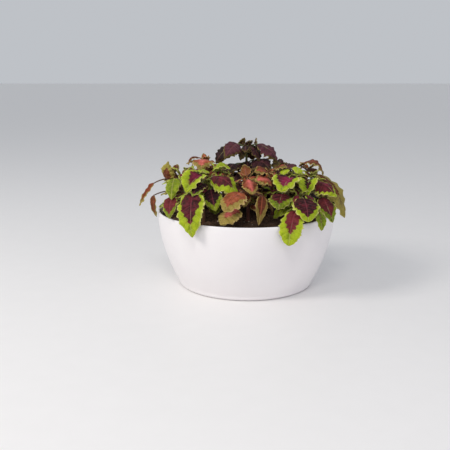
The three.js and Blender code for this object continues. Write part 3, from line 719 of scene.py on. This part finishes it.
def crumble(x, y, rng):
    """A rough height: for each length, a sum of sine waves that run in random directions."""
    height = np.zeros_like(x)
    for length in CRUMBLE_LENGTHS:
        for turn, phase in rng.uniform(0, 2 * np.pi, (CRUMBLE_WAVES, 2)):
            along = x * np.cos(turn) + y * np.sin(turn)
            height += np.sin(along * 2 * np.pi / length + phase) * length / CRUMBLE_FLATNESS
    return height


def crumbs(count, reach, rng):
    """Crumbs as balls of four rings, each stretched, dented and turned at random, most of them small."""
    ball, quads = lathed([(math.sqrt(1 - level ** 2), level) for level in CRUMB_LEVELS], CRUMB_SIDES)
    ball = ball.reshape(-1, 3)
    size = CRUMB_LEAST + CRUMB_MORE * rng.random(count) ** 3
    stretch = rng.uniform(*CRUMB_STRETCH, (count, 1, 3)) * size[:, None, None]
    dented = ball * rng.uniform(*CRUMB_DENT, (count, len(ball), 1)) * stretch
    axes, _ = np.linalg.qr(rng.normal(size=(count, 3, 3)))
    axes[:, :, 2] *= np.linalg.det(axes)[:, None]
    turned_balls = np.einsum("nij,nkj->nki", axes, dented)
    radius = reach * np.sqrt(rng.random(count))
    around = rng.uniform(0, 2 * np.pi, count)
    x, y = radius * np.cos(around), radius * np.sin(around)
    centres = np.stack([x, y, soil_height(x, y) + size * rng.uniform(*CRUMB_SEAT, count)], -1)
    all_quads = quads[None] + np.arange(count)[:, None, None] * len(ball)
    tone = np.repeat(rng.random(count), len(ball))
    return turned_balls + centres[:, None], all_quads.reshape(-1, 4), tone


def make_soil():
    """The side follows the bowl, and the top is a heap with a crumbled surface, on which loose crumbs lie."""
    rng = np.random.default_rng(SOIL_SEED)
    inside = CORNER_RADIUS - WALL
    corner_radius = inner_radius(CORNER_RADIUS) - SEAT_GAP
    side = wall(inner_radius, CORNER_RADIUS, SOIL_EDGE, steps=8) - [SEAT_GAP, 0]
    edge = side[-1, 0]
    rings = np.linspace(edge, 1.0, SOIL_RINGS)[1:]
    profile = np.concatenate([
        arc(corner_radius - inside, WALL + SEAT_GAP + inside, inside, -90, 0, steps=4)[:-1],
        side,
        np.stack([rings, np.full_like(rings, SOIL_EDGE)], -1),
    ])
    points, quads = lathed(profile, SOIL_SIDES)
    x, y = points[..., 0], points[..., 1]
    inwards = np.clip((edge - np.hypot(x, y)) / CRUMBLE_FADE, 0, 1)
    height = soil_height(x, y) + crumble(x, y, rng) * inwards
    points[..., 2] = np.where(points[..., 2] >= SOIL_EDGE, height, points[..., 2])
    shape = Shape("crumb_tone")
    shape.add(points, quads, crumb_tone=GROUND_TONE)
    loose, loose_quads, tone = crumbs(CRUMBS, edge - CRUMB_MARGIN, rng)
    shape.add(loose, loose_quads, crumb_tone=tone)
    piece = shape.make("crumbled_soil", [damp_potting_soil()])
    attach(piece, "root")
    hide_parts("soil")


# Where the stems and leaves are.

def stem_point(stem, height):
    """The stem rises upright from its foot and bends to its top with the square of its height."""
    height = np.asarray(height, float)
    level = soil_height(*stem.foot)
    share = np.clip((height - level) / (stem.top[2] - level), 0, None)
    foot = np.array([*stem.foot, 0.0])
    reach = (np.array(stem.top) - foot) * [1, 1, 0]
    return foot + reach * share[..., None] ** 2 + UP * height[..., None]


def placed_leaf(row):
    height, base, tip, width, arch, roll, fold, taper, *looks = row
    teeth = next(count for least, count in TEETH_BY_WIDTH if width > least)
    base, tip = np.array(base, float), np.array(tip, float)
    wave = width / PLACED_FLATNESS
    return Leaf(height, base, tip, width, arch, roll, fold, taper, wave, teeth, "placed", *looks)


def reaching(stem, height, azimuth, out, up, length, rise):
    """A leaf's base, so far out and up from its stem, and its tip, that far on at a rise in radians."""
    outward = outward_at(azimuth)
    base = stem_point(stem, height) + outward * out + UP * up
    return base, base + outward * length * math.cos(rise) + UP * length * math.sin(rise)


def grown(stem, key, *measures):
    """A leaf that isn't placed, with looks drawn for its stem's colour."""
    return Leaf(*measures, *drawn(RULED_LOOKS[stem.colour], key + LOOKS_KEYS))


def ruled_leaf(stem, height, azimuth, length, key):
    """A leaf of the crossed pairs, from its direction round the stem and its length."""
    turn, stalk, droop, share, roll, fold, taper = drawn(PAIR_RANGES, key)
    out, up = length * stalk * PAIR_OUT, length * stalk * PAIR_UP
    base, tip = reaching(stem, height, azimuth + turn, out, up, length, -math.radians(droop))
    width = length * share
    return grown(
        stem, key, height, base, tip, width, length * PAIR_ARCH, roll, fold, taper,
        width / PAIR_FLATNESS, PAIR_TEETH, "ruled",
    )


def young_leaf(stem, azimuth, key):
    """One of the two young leaves at the end of the stem."""
    turn, length, rise = drawn(YOUNG_RANGES, key)
    height = stem.top[2] - YOUNG_DOWN
    base, tip = reaching(stem, height, azimuth + turn, YOUNG_OUT, YOUNG_UP, length, rise)
    return grown(
        stem, key, height, base, tip, length * YOUNG_WIDTH, YOUNG_ARCH, 0, YOUNG_FOLD, TIP_POWER,
        YOUNG_WAVE, YOUNG_TEETH, "young",
    )


def bud_leaf(stem, height, azimuth, length, rise, key):
    """A small leaf on a short stalk of its own, with its rise in degrees."""
    share, roll = drawn(BUD_RANGES, key)
    out, up = length * BUD_OUT, length * BUD_UP
    base, tip = reaching(stem, height, azimuth, out, up, length, math.radians(rise))
    width = length * share
    return grown(
        stem, key, height, base, tip, width, length * BUD_ARCH, roll, BUD_FOLD, TIP_POWER,
        width / BUD_FLATNESS, BUD_TEETH, "bud",
    )


def angle_buds(stem, standing, order):
    """Two small leaves in the angle of each leaf stalk, one to each side of it."""
    for number, (leaf, axes) in enumerate(standing):
        if leaf.growth == "young":
            continue
        sheltered = leaf.growth == "ruled" and stem.foot[1] > 0
        shares, most = (SHELTERED_SHARES, SHELTERED_MOST) if sheltered else (OPEN_SHARES, OPEN_MOST)
        arm = leaf.base - axes.root
        azimuth = math.degrees(math.atan2(arm[1], arm[0]))
        for hand in (-1, 1):
            key = order * STEM_KEYS + ANGLE_KEYS + number * ANGLE_STEP + hand * HAND_STEP
            side = azimuth + hand * spread(key, *ANGLE_TURN)
            length = np.linalg.norm(leaf.tip - leaf.base) * spread(key + 2, *shares)
            rise = spread(key + 3, *ANGLE_RISE)
            yield bud_leaf(stem, leaf.height + ANGLE_OVER, side, min(length, most), rise, key + 4)


def ring_buds(stem, order):
    """A ring of small drooping leaves, in steps under the top of a stem, each turned on from the last."""
    for number in range(RING_LEAVES):
        key = order * STEM_KEYS + RING_KEYS + number * NEXT_KEY
        turn, length, rise = drawn(RING_RANGES, key)
        height = min(stem.top[2] - RING_DOWN, RING_TOP) - RING_STEP * (number % RING_STEPS)
        azimuth = stem.turn + RING_ANGLE * number + turn
        yield bud_leaf(stem, height, azimuth, length, rise, key + 3)


def end_buds(stem, order):
    """Four of the smallest leaves, in a cross at the end of a stem."""
    for quarter in range(4):
        key = order * STEM_KEYS + END_KEYS + quarter * NEXT_KEY
        length, rise = drawn(END_RANGES, key)
        yield bud_leaf(stem, stem.top[2] - END_DOWN, stem.turn + 90 * quarter, length, rise, key)


def bud_leaves(stem, standing, order):
    """The small leaves of a stem. A ring under the top grows on the stems behind the middle, apart from the
    bronze ones at the outer edge."""
    ring = ring_buds(stem, order) if stem.foot[1] > 0 and stem.colour != "bronze" else []
    return [*angle_buds(stem, standing, order), *ring, *end_buds(stem, order)]


def leaves_of(stem, order):
    """The placed leaves, then the crossed pairs evenly up the stem, then the two young leaves."""
    leaves = [placed_leaf(row) for row in stem.leaves]
    low = soil_height(*stem.foot) + stem.clear
    high = stem.top[2] - TOP_CLEAR
    for pair in range(stem.pairs):
        height = low + (high - low) * pair / max(stem.pairs - 1, 1)
        length = stem.reach * (1 - PAIR_SHRINK * pair)
        for half in range(2):
            azimuth = stem.turn + 90 * pair + 180 * half
            key = order * STEM_KEYS + pair * PAIR_KEYS + half * HALF_KEYS
            towards_front = -math.sin(math.radians(azimuth))
            if not stem.leaves or towards_front < FRONT_LIMIT:
                leaves.append(ruled_leaf(stem, height, azimuth, length, key))
    for half in range(2):
        key = order * STEM_KEYS + YOUNG_KEYS + half * HALF_KEYS
        leaves.append(young_leaf(stem, stem.turn + 45 + 180 * half, key))
    return leaves


def variants_of(leaf):
    """The places that a leaf may take, where another one is in its way."""
    if leaf.growth == "placed":
        return [
            leaf._replace(base=leaf.base + BACK * shift / 2, tip=leaf.tip + BACK * shift)
            for shift in PLACED_SHIFTS
        ]
    variants = []
    for size, moves in RULED_CHANGES.items():
        for turn, lift in moves:
            arm = turned((leaf.tip - leaf.base) * size, UP, turn)
            variants.append(leaf._replace(width=leaf.width * size, tip=leaf.base + arm + UP * lift))
    return variants


class Axes:
    """A leaf's root on the stem, its midrib as a curve of the second degree and the direction across it.
    An upright blade turns its upper face to the stem, a hanging one away from it."""

    def __init__(self, stem, leaf):
        self.root = stem_point(stem, leaf.height)
        along = unit(leaf.tip - leaf.base)
        middle = (leaf.tip + leaf.base) / 2
        outward = unit((middle - self.root) * [1, 1, 0])
        facing = UP * math.hypot(along[0], along[1]) - outward * along[2]
        facing = turned(unit(facing - along * (along @ facing)), along, leaf.roll)
        self.base = leaf.base
        self.tip = leaf.tip
        self.control = middle + facing * leaf.arch
        self.across = unit(np.cross(along, facing))

    def rib(self, u):
        return bent(self.base, self.control, self.tip, u)

    def up(self, u):
        """The way that the upper face looks: square to the midrib and to the direction across."""
        u = np.asarray(u, float)[..., None]
        along = (1 - u) * (self.control - self.base) + u * (self.tip - self.control)
        return unit(np.cross(self.across, along))


def outline(leaf, u):
    """Half the blade's width at u along the midrib, as a share of its greatest."""
    u = np.clip(u, 0, 1)
    widest = BASE_POWER / (BASE_POWER + leaf.taper)
    return (u / widest) ** BASE_POWER * ((1 - u) / (1 - widest)) ** leaf.taper


def half_width(leaf, u):
    return leaf.width / 2 * outline(leaf, u) + STALK_HALF * (1 - u) ** 2


def blade_point(leaf, axes, u, v, rise):
    """A point of the blade: the midrib at u, v half widths across it, and the lift and wave of the edge
    with the height of the relief over the face."""
    half = half_width(leaf, u)
    wave = leaf.wave * np.sin(2 * np.pi * EDGE_WAVES * u + np.where(v > 0, RIGHT_WAVE, LEFT_WAVE))
    lift = np.abs(v) * (leaf.fold * half + wave * outline(leaf, u)) + rise
    return axes.rib(u) + axes.across * (v * half)[..., None] + axes.up(u) * lift[..., None]


def standing_leaves(stem, order):
    """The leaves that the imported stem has: the variant of each whose tip is a point of the node."""
    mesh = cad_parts["leafy_stem_" + stem.name].data
    points = np.empty(len(mesh.vertices) * 3, np.float32)
    mesh.vertices.foreach_get("co", points)
    points = points.reshape(-1, 3) / MM
    standing = []
    for leaf in leaves_of(stem, order):
        for variant in variants_of(leaf):
            axes = Axes(stem, variant)
            tip = axes.tip + axes.up(1.0) * BLADE_THICKNESS / 2
            if np.linalg.norm(points - tip, axis=1).min() < SAME_POINT:
                standing.append((variant, axes))
                break
    return standing


# Blades and stems.

def notch(phase):
    """How deep the edge is cut: none at a tooth's tip, fully between two. Teeth lean to the leaf's tip."""
    share = phase % 1
    return np.where(share < TOOTH_LEAN, 1 - share / TOOTH_LEAN, (share - TOOTH_LEAN) / (1 - TOOTH_LEAN))


def toothed(leaf, c, u):
    """Where column c lies across the blade at u, once coarse and fine teeth have cut the edge back."""
    coarse = COARSE_NOTCH * notch(leaf.teeth * u)
    fine = FINE_NOTCH * notch((2 * leaf.teeth + 2) * u + FINE_START)
    toothy = np.clip((np.abs(c) - TEETH_FROM) / (1 - TEETH_FROM), 0, 1) ** 2
    return c * (1 - (coarse + fine) * toothy)


def blade_relief(leaf, veins, ruffling, seed, t, c, u):
    """Cushions rise between the veins as a power of a sine, and the face buckles as the product of three
    sines. The edge ruffles as a sine, with the third power of the way out, and curls down with the fifth. A
    channel runs along the midrib as a bell curve."""
    side = np.abs(c)
    cushion = np.abs(np.sin(np.pi * veins * t)) ** CUSHION_POWER
    body = np.clip(side / CUSHION_RISE, 0, 1) * np.clip((1 - side) / CUSHION_FALL, 0, 1)
    along = np.sin(2 * np.pi * (BUCKLES_ALONG * u + ALONG_STEP * seed))
    across = np.sin(np.pi * (BUCKLES_ACROSS * c + ACROSS_STEP * seed))
    buckle = along * across * np.sin(np.pi * t)
    turns = veins * RUFFLES_PER_VEIN * u + seed * RUFFLE_STEP
    ruffle = side ** 3 * np.sin(2 * np.pi * turns + np.where(c > 0, RUFFLE_OFFSET, 0))
    edge = ruffling * (ruffle - EDGE_CURL * side ** 5) * np.sin(np.pi * t) ** 0.5
    channel = CHANNEL_DEPTH * np.exp(-(side * half_width(leaf, u) / CHANNEL_HALF) ** 2) * outline(leaf, u)
    return leaf.width * (CUSHION_SHARE * cushion * body + BUCKLE_SHARE * buckle + edge) - channel


def blade_values(leaf, veins, t, c, u):
    """The named values of a blade's points. The heart's limit falls to its end as a power: the larger it is,
    the nearer to the tip it ends and the longer it keeps its width."""
    side = np.abs(c)
    end = HEART_END + HEART_END_MORE * leaf.heart ** 3
    power = HEART_POWER + HEART_POWER_MORE * leaf.heart ** 4
    limit = leaf.heart * (1 - (u / end) ** power)
    fringe = HEART_FRINGE * np.cos(2 * np.pi * veins * t)
    length = np.linalg.norm(leaf.tip - leaf.base)
    off_vein = np.abs(t - np.round(veins * t) / veins) * length
    return {
        "heart": limit - side + fringe - HEART_OFF * (leaf.heart < NO_HEART),
        "glow": leaf.glow * np.exp(-(side / GLOW_HALF) ** 2) * np.clip(limit / GLOW_END, 0, 1),
        "vein": off_vein * (1 + VEIN_SPREAD * side),
        "rib": side * half_width(leaf, u),
        "edge": side,
    }


def add_blade(shape, leaf, axes, ruffling, seed):
    """A thin closed skin over rows along the side veins (t) and columns across them (c)."""
    growth = GROWTHS[leaf.growth]
    veins = leaf.teeth + growth.more_veins
    rows = veins * min(growth.rows, LEAST_ROWS + int(leaf.width / ROW_WIDTH)) + 1
    columns = min(growth.columns, LEAST_COLUMNS + 2 * int(leaf.width / COLUMN_WIDTH))
    t, c = np.meshgrid(np.linspace(0, 1, rows), np.linspace(-1, 1, columns), indexing="ij")
    u = LAST_ROW * (t + VEIN_LEAN * np.abs(c) ** VEIN_CURVE * np.sin(np.pi * t))
    v = toothed(leaf, c, u)
    relief = blade_relief(leaf, veins, ruffling, seed, t, c, u)
    skin = SKIN + (EDGE_SKIN - SKIN) * np.abs(c)
    top = blade_point(leaf, axes, u, v, relief + skin)
    bottom = blade_point(leaf, axes, u, v, relief - skin)
    ring = np.concatenate([top, bottom[:, ::-1]], axis=1)
    underside = np.concatenate([np.zeros_like(u), np.ones_like(u)], axis=1)
    both = {
        name: np.concatenate([value, value[:, ::-1]], axis=1)
        for name, value in blade_values(leaf, veins, t, c, u).items()
    }
    quads = tube_quads(rows, 2 * columns)
    shape.add(ring, quads, warmth=leaf.warmth, fresh=leaf.fresh, underside=underside, **both)


def add_stalk(shape, leaf, axes):
    """The stalk bows from the stem to the blade and runs on as the midrib, thinning to its end. The midrib
    is sunk under the blade's middle, so that it stands out from the underside alone. A bud leaf has every
    third ring, with half as many sides."""
    growth = GROWTHS[leaf.growth]
    bow = UP * np.linalg.norm(leaf.base - axes.root) * growth.bow
    middle = (axes.root + leaf.base) / 2 + bow
    stalk = bent(axes.root, middle, leaf.base, np.linspace(0, 1, STALK_ROWS + 1)[:-1])
    u = np.linspace(0, MIDRIB_END, MIDRIB_ROWS)
    rib_radii = np.linspace(*MIDRIB_RADII, MIDRIB_ROWS) * growth.slender
    depth = (rib_radii + MIDRIB_SUNK) * np.clip(u / MIDRIB_UNDER, 0, 1)
    under = axes.rib(u) - axes.up(u) * depth[:, None]
    radii = np.concatenate([np.linspace(*STALK_RADII, STALK_ROWS) * growth.slender, rib_radii])
    path = np.concatenate([stalk, under])
    step, sides = (3, 4) if leaf.growth == "bud" else (1, 8)
    path, radii = path[::step], radii[::step]
    shape.add(swept(path, radii, sides, axes.across), tube_quads(len(path), sides), material=1)


def add_stem(shape, stem, heights):
    """A square stem with rounded corners, a little thicker at each of the heights, ending bluntly."""
    foot = soil_height(*stem.foot)
    level = np.linspace(foot - HOLE_DEPTH + SEAT_GAP, stem.top[2], STEM_ROWS)
    share = np.clip((level - foot) / (stem.top[2] - foot), 0, 1)
    radii = STEM_SHARE * (STEM_RADIUS + (STEM_TIP_RADIUS - STEM_RADIUS) * share)
    for height in heights:
        radii = radii + KNOT_SWELL * np.exp(-((level - height) / KNOT_LENGTH) ** 2)
    points = swept(stem_point(stem, level), radii, STEM_SIDES, RIGHT, STEM_SQUARENESS)
    shape.add(points, tube_quads(STEM_ROWS, STEM_SIDES), material=1)


def make_leafy_stem(stem, order, materials):
    """One grown piece: the stem, the leaves that its solid has, and the small leaves."""
    shape = Shape(*LEAF_VALUES)
    standing = standing_leaves(stem, order)
    add_stem(shape, stem, {leaf.height for leaf, _ in standing if leaf.growth == "ruled"})
    small = [(leaf, Axes(stem, leaf)) for leaf in bud_leaves(stem, standing, order)]
    for number, (leaf, axes) in enumerate(standing + small):
        add_blade(shape, leaf, axes, RUFFLE_SHARES[stem.colour], order * BLADE_KEYS + number)
        add_stalk(shape, leaf, axes)
    piece = shape.make("coleus_" + stem.name, materials)
    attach(piece, "root")
    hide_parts("leafy_stem_" + stem.name)


# The colours of each kind of plant: of its leaves, and of its stems when young and old. A leaf's rim colour,
# along its edge, is partly a painted highlight.
PLANT_COLOURS = {
    "lime": (LeafColours(
        fresh="#A2B41C", dull="#4C5C0C", rim="#DED682", heart="#24080C", warm_heart="#702628",
        glow="#8E2048", vein="#863C46", back="#84923A",
    ), "#8E9650", "#6A4A36"),
    "coral": (LeafColours(
        fresh="#A28E48", dull="#6C5822", rim="#D8BA78", heart="#522410", warm_heart="#9C5430",
        glow="#DC7068", vein="#B05C40", back="#9A6A46",
    ), "#A56C50", "#6F4034"),
    "dark": (LeafColours(
        fresh="#6C5A28", dull="#342C16", rim="#8C7446", heart="#20100E", warm_heart="#562A34",
        glow="#70404C", vein="#74463E", back="#4A3026",
    ), "#6B7240", "#3A2622"),
    "bronze": (LeafColours(
        fresh="#9C9040", dull="#665430", rim="#C4B06C", heart="#4C2C16", warm_heart="#7A3212",
        glow="#A05A4A", vein="#8A5634", back="#96884A",
    ), "#7A5A3C", "#4B2E26"),
}

SKINS = {
    colour: [leaf_skin(colour + "_leaf", leaf), stem_skin(colour + "_stem", young, old)]
    for colour, (leaf, young, old) in PLANT_COLOURS.items()
}


# Studio. Places are in millimetres, powers in watts.

FLOOR_HALF = 30000.0
ROOM_STRENGTH = 0.7
LIT_POINT = (0, 0, 120)
LAMPS = [
    ("window_left", (-1600, -1000, 1500), 700, 23, "#FFFBF6"),
    ("window_front", (-150, -1500, 1700), 450, 8, "#FFFBF7"),
    ("fill_right", (1500, -1300, 400), 1000, 4, "#F4EEFA"),
]
CAMERA_PLACE = (-35.7, -1100, 349.4)
CAMERA_TARGET = (-35.7, 0, 98.6)
CAMERA_SENSOR = 36
CAMERA_LENS = 52.34
CAMERA_RANGE = 80000


def make_floor():
    shape = Shape()
    corners = FLOOR_HALF * np.array([[-1, -1, 0], [1, -1, 0], [1, 1, 0], [-1, 1, 0]])
    shape.add(corners, np.array([[0, 1, 2, 3]]))
    shape.make("tabletop", [white_tabletop()])


def aimed(thing, place, target):
    """Puts a camera or light at a place, turned to look at a target, both in millimetres."""
    thing.location = Vector(place) * MM
    thing.rotation_euler = ((Vector(target) - Vector(place)) * MM).to_track_quat("-Z", "Y").to_euler()
    bpy.context.scene.collection.objects.link(thing)


def soft_light(name, place, size, power, colour):
    lamp = bpy.data.lights.new(name, "AREA")
    lamp.size = size * MM
    lamp.energy = power
    lamp.color = linear(colour)[:3]
    aimed(bpy.data.objects.new(name, lamp), place, LIT_POINT)


def make_studio():
    """Two window lights and a weak fill in a pale room."""
    for lamp in LAMPS:
        soft_light(*lamp)
    world = bpy.data.worlds.new("pale_room")
    world.use_nodes = True
    background = world.node_tree.nodes["Background"]
    background.inputs["Color"].default_value = linear("#DFE3E9")
    background.inputs["Strength"].default_value = ROOM_STRENGTH
    bpy.context.scene.world = world
    bpy.context.scene.view_settings.view_transform = "Standard"


def make_camera():
    """Stands a little over a metre in front, looking slightly down."""
    camera = bpy.data.cameras.new("camera")
    camera.sensor_width = CAMERA_SENSOR
    camera.lens = CAMERA_LENS
    camera.clip_end = CAMERA_RANGE * MM
    seen = bpy.data.objects.new("camera", camera)
    aimed(seen, CAMERA_PLACE, CAMERA_TARGET)
    bpy.context.scene.camera = seen


make_bowl()
make_soil()
for order, stem in enumerate(STEMS):
    make_leafy_stem(stem, order, SKINS[stem.colour])
make_floor()
make_studio()
make_camera()
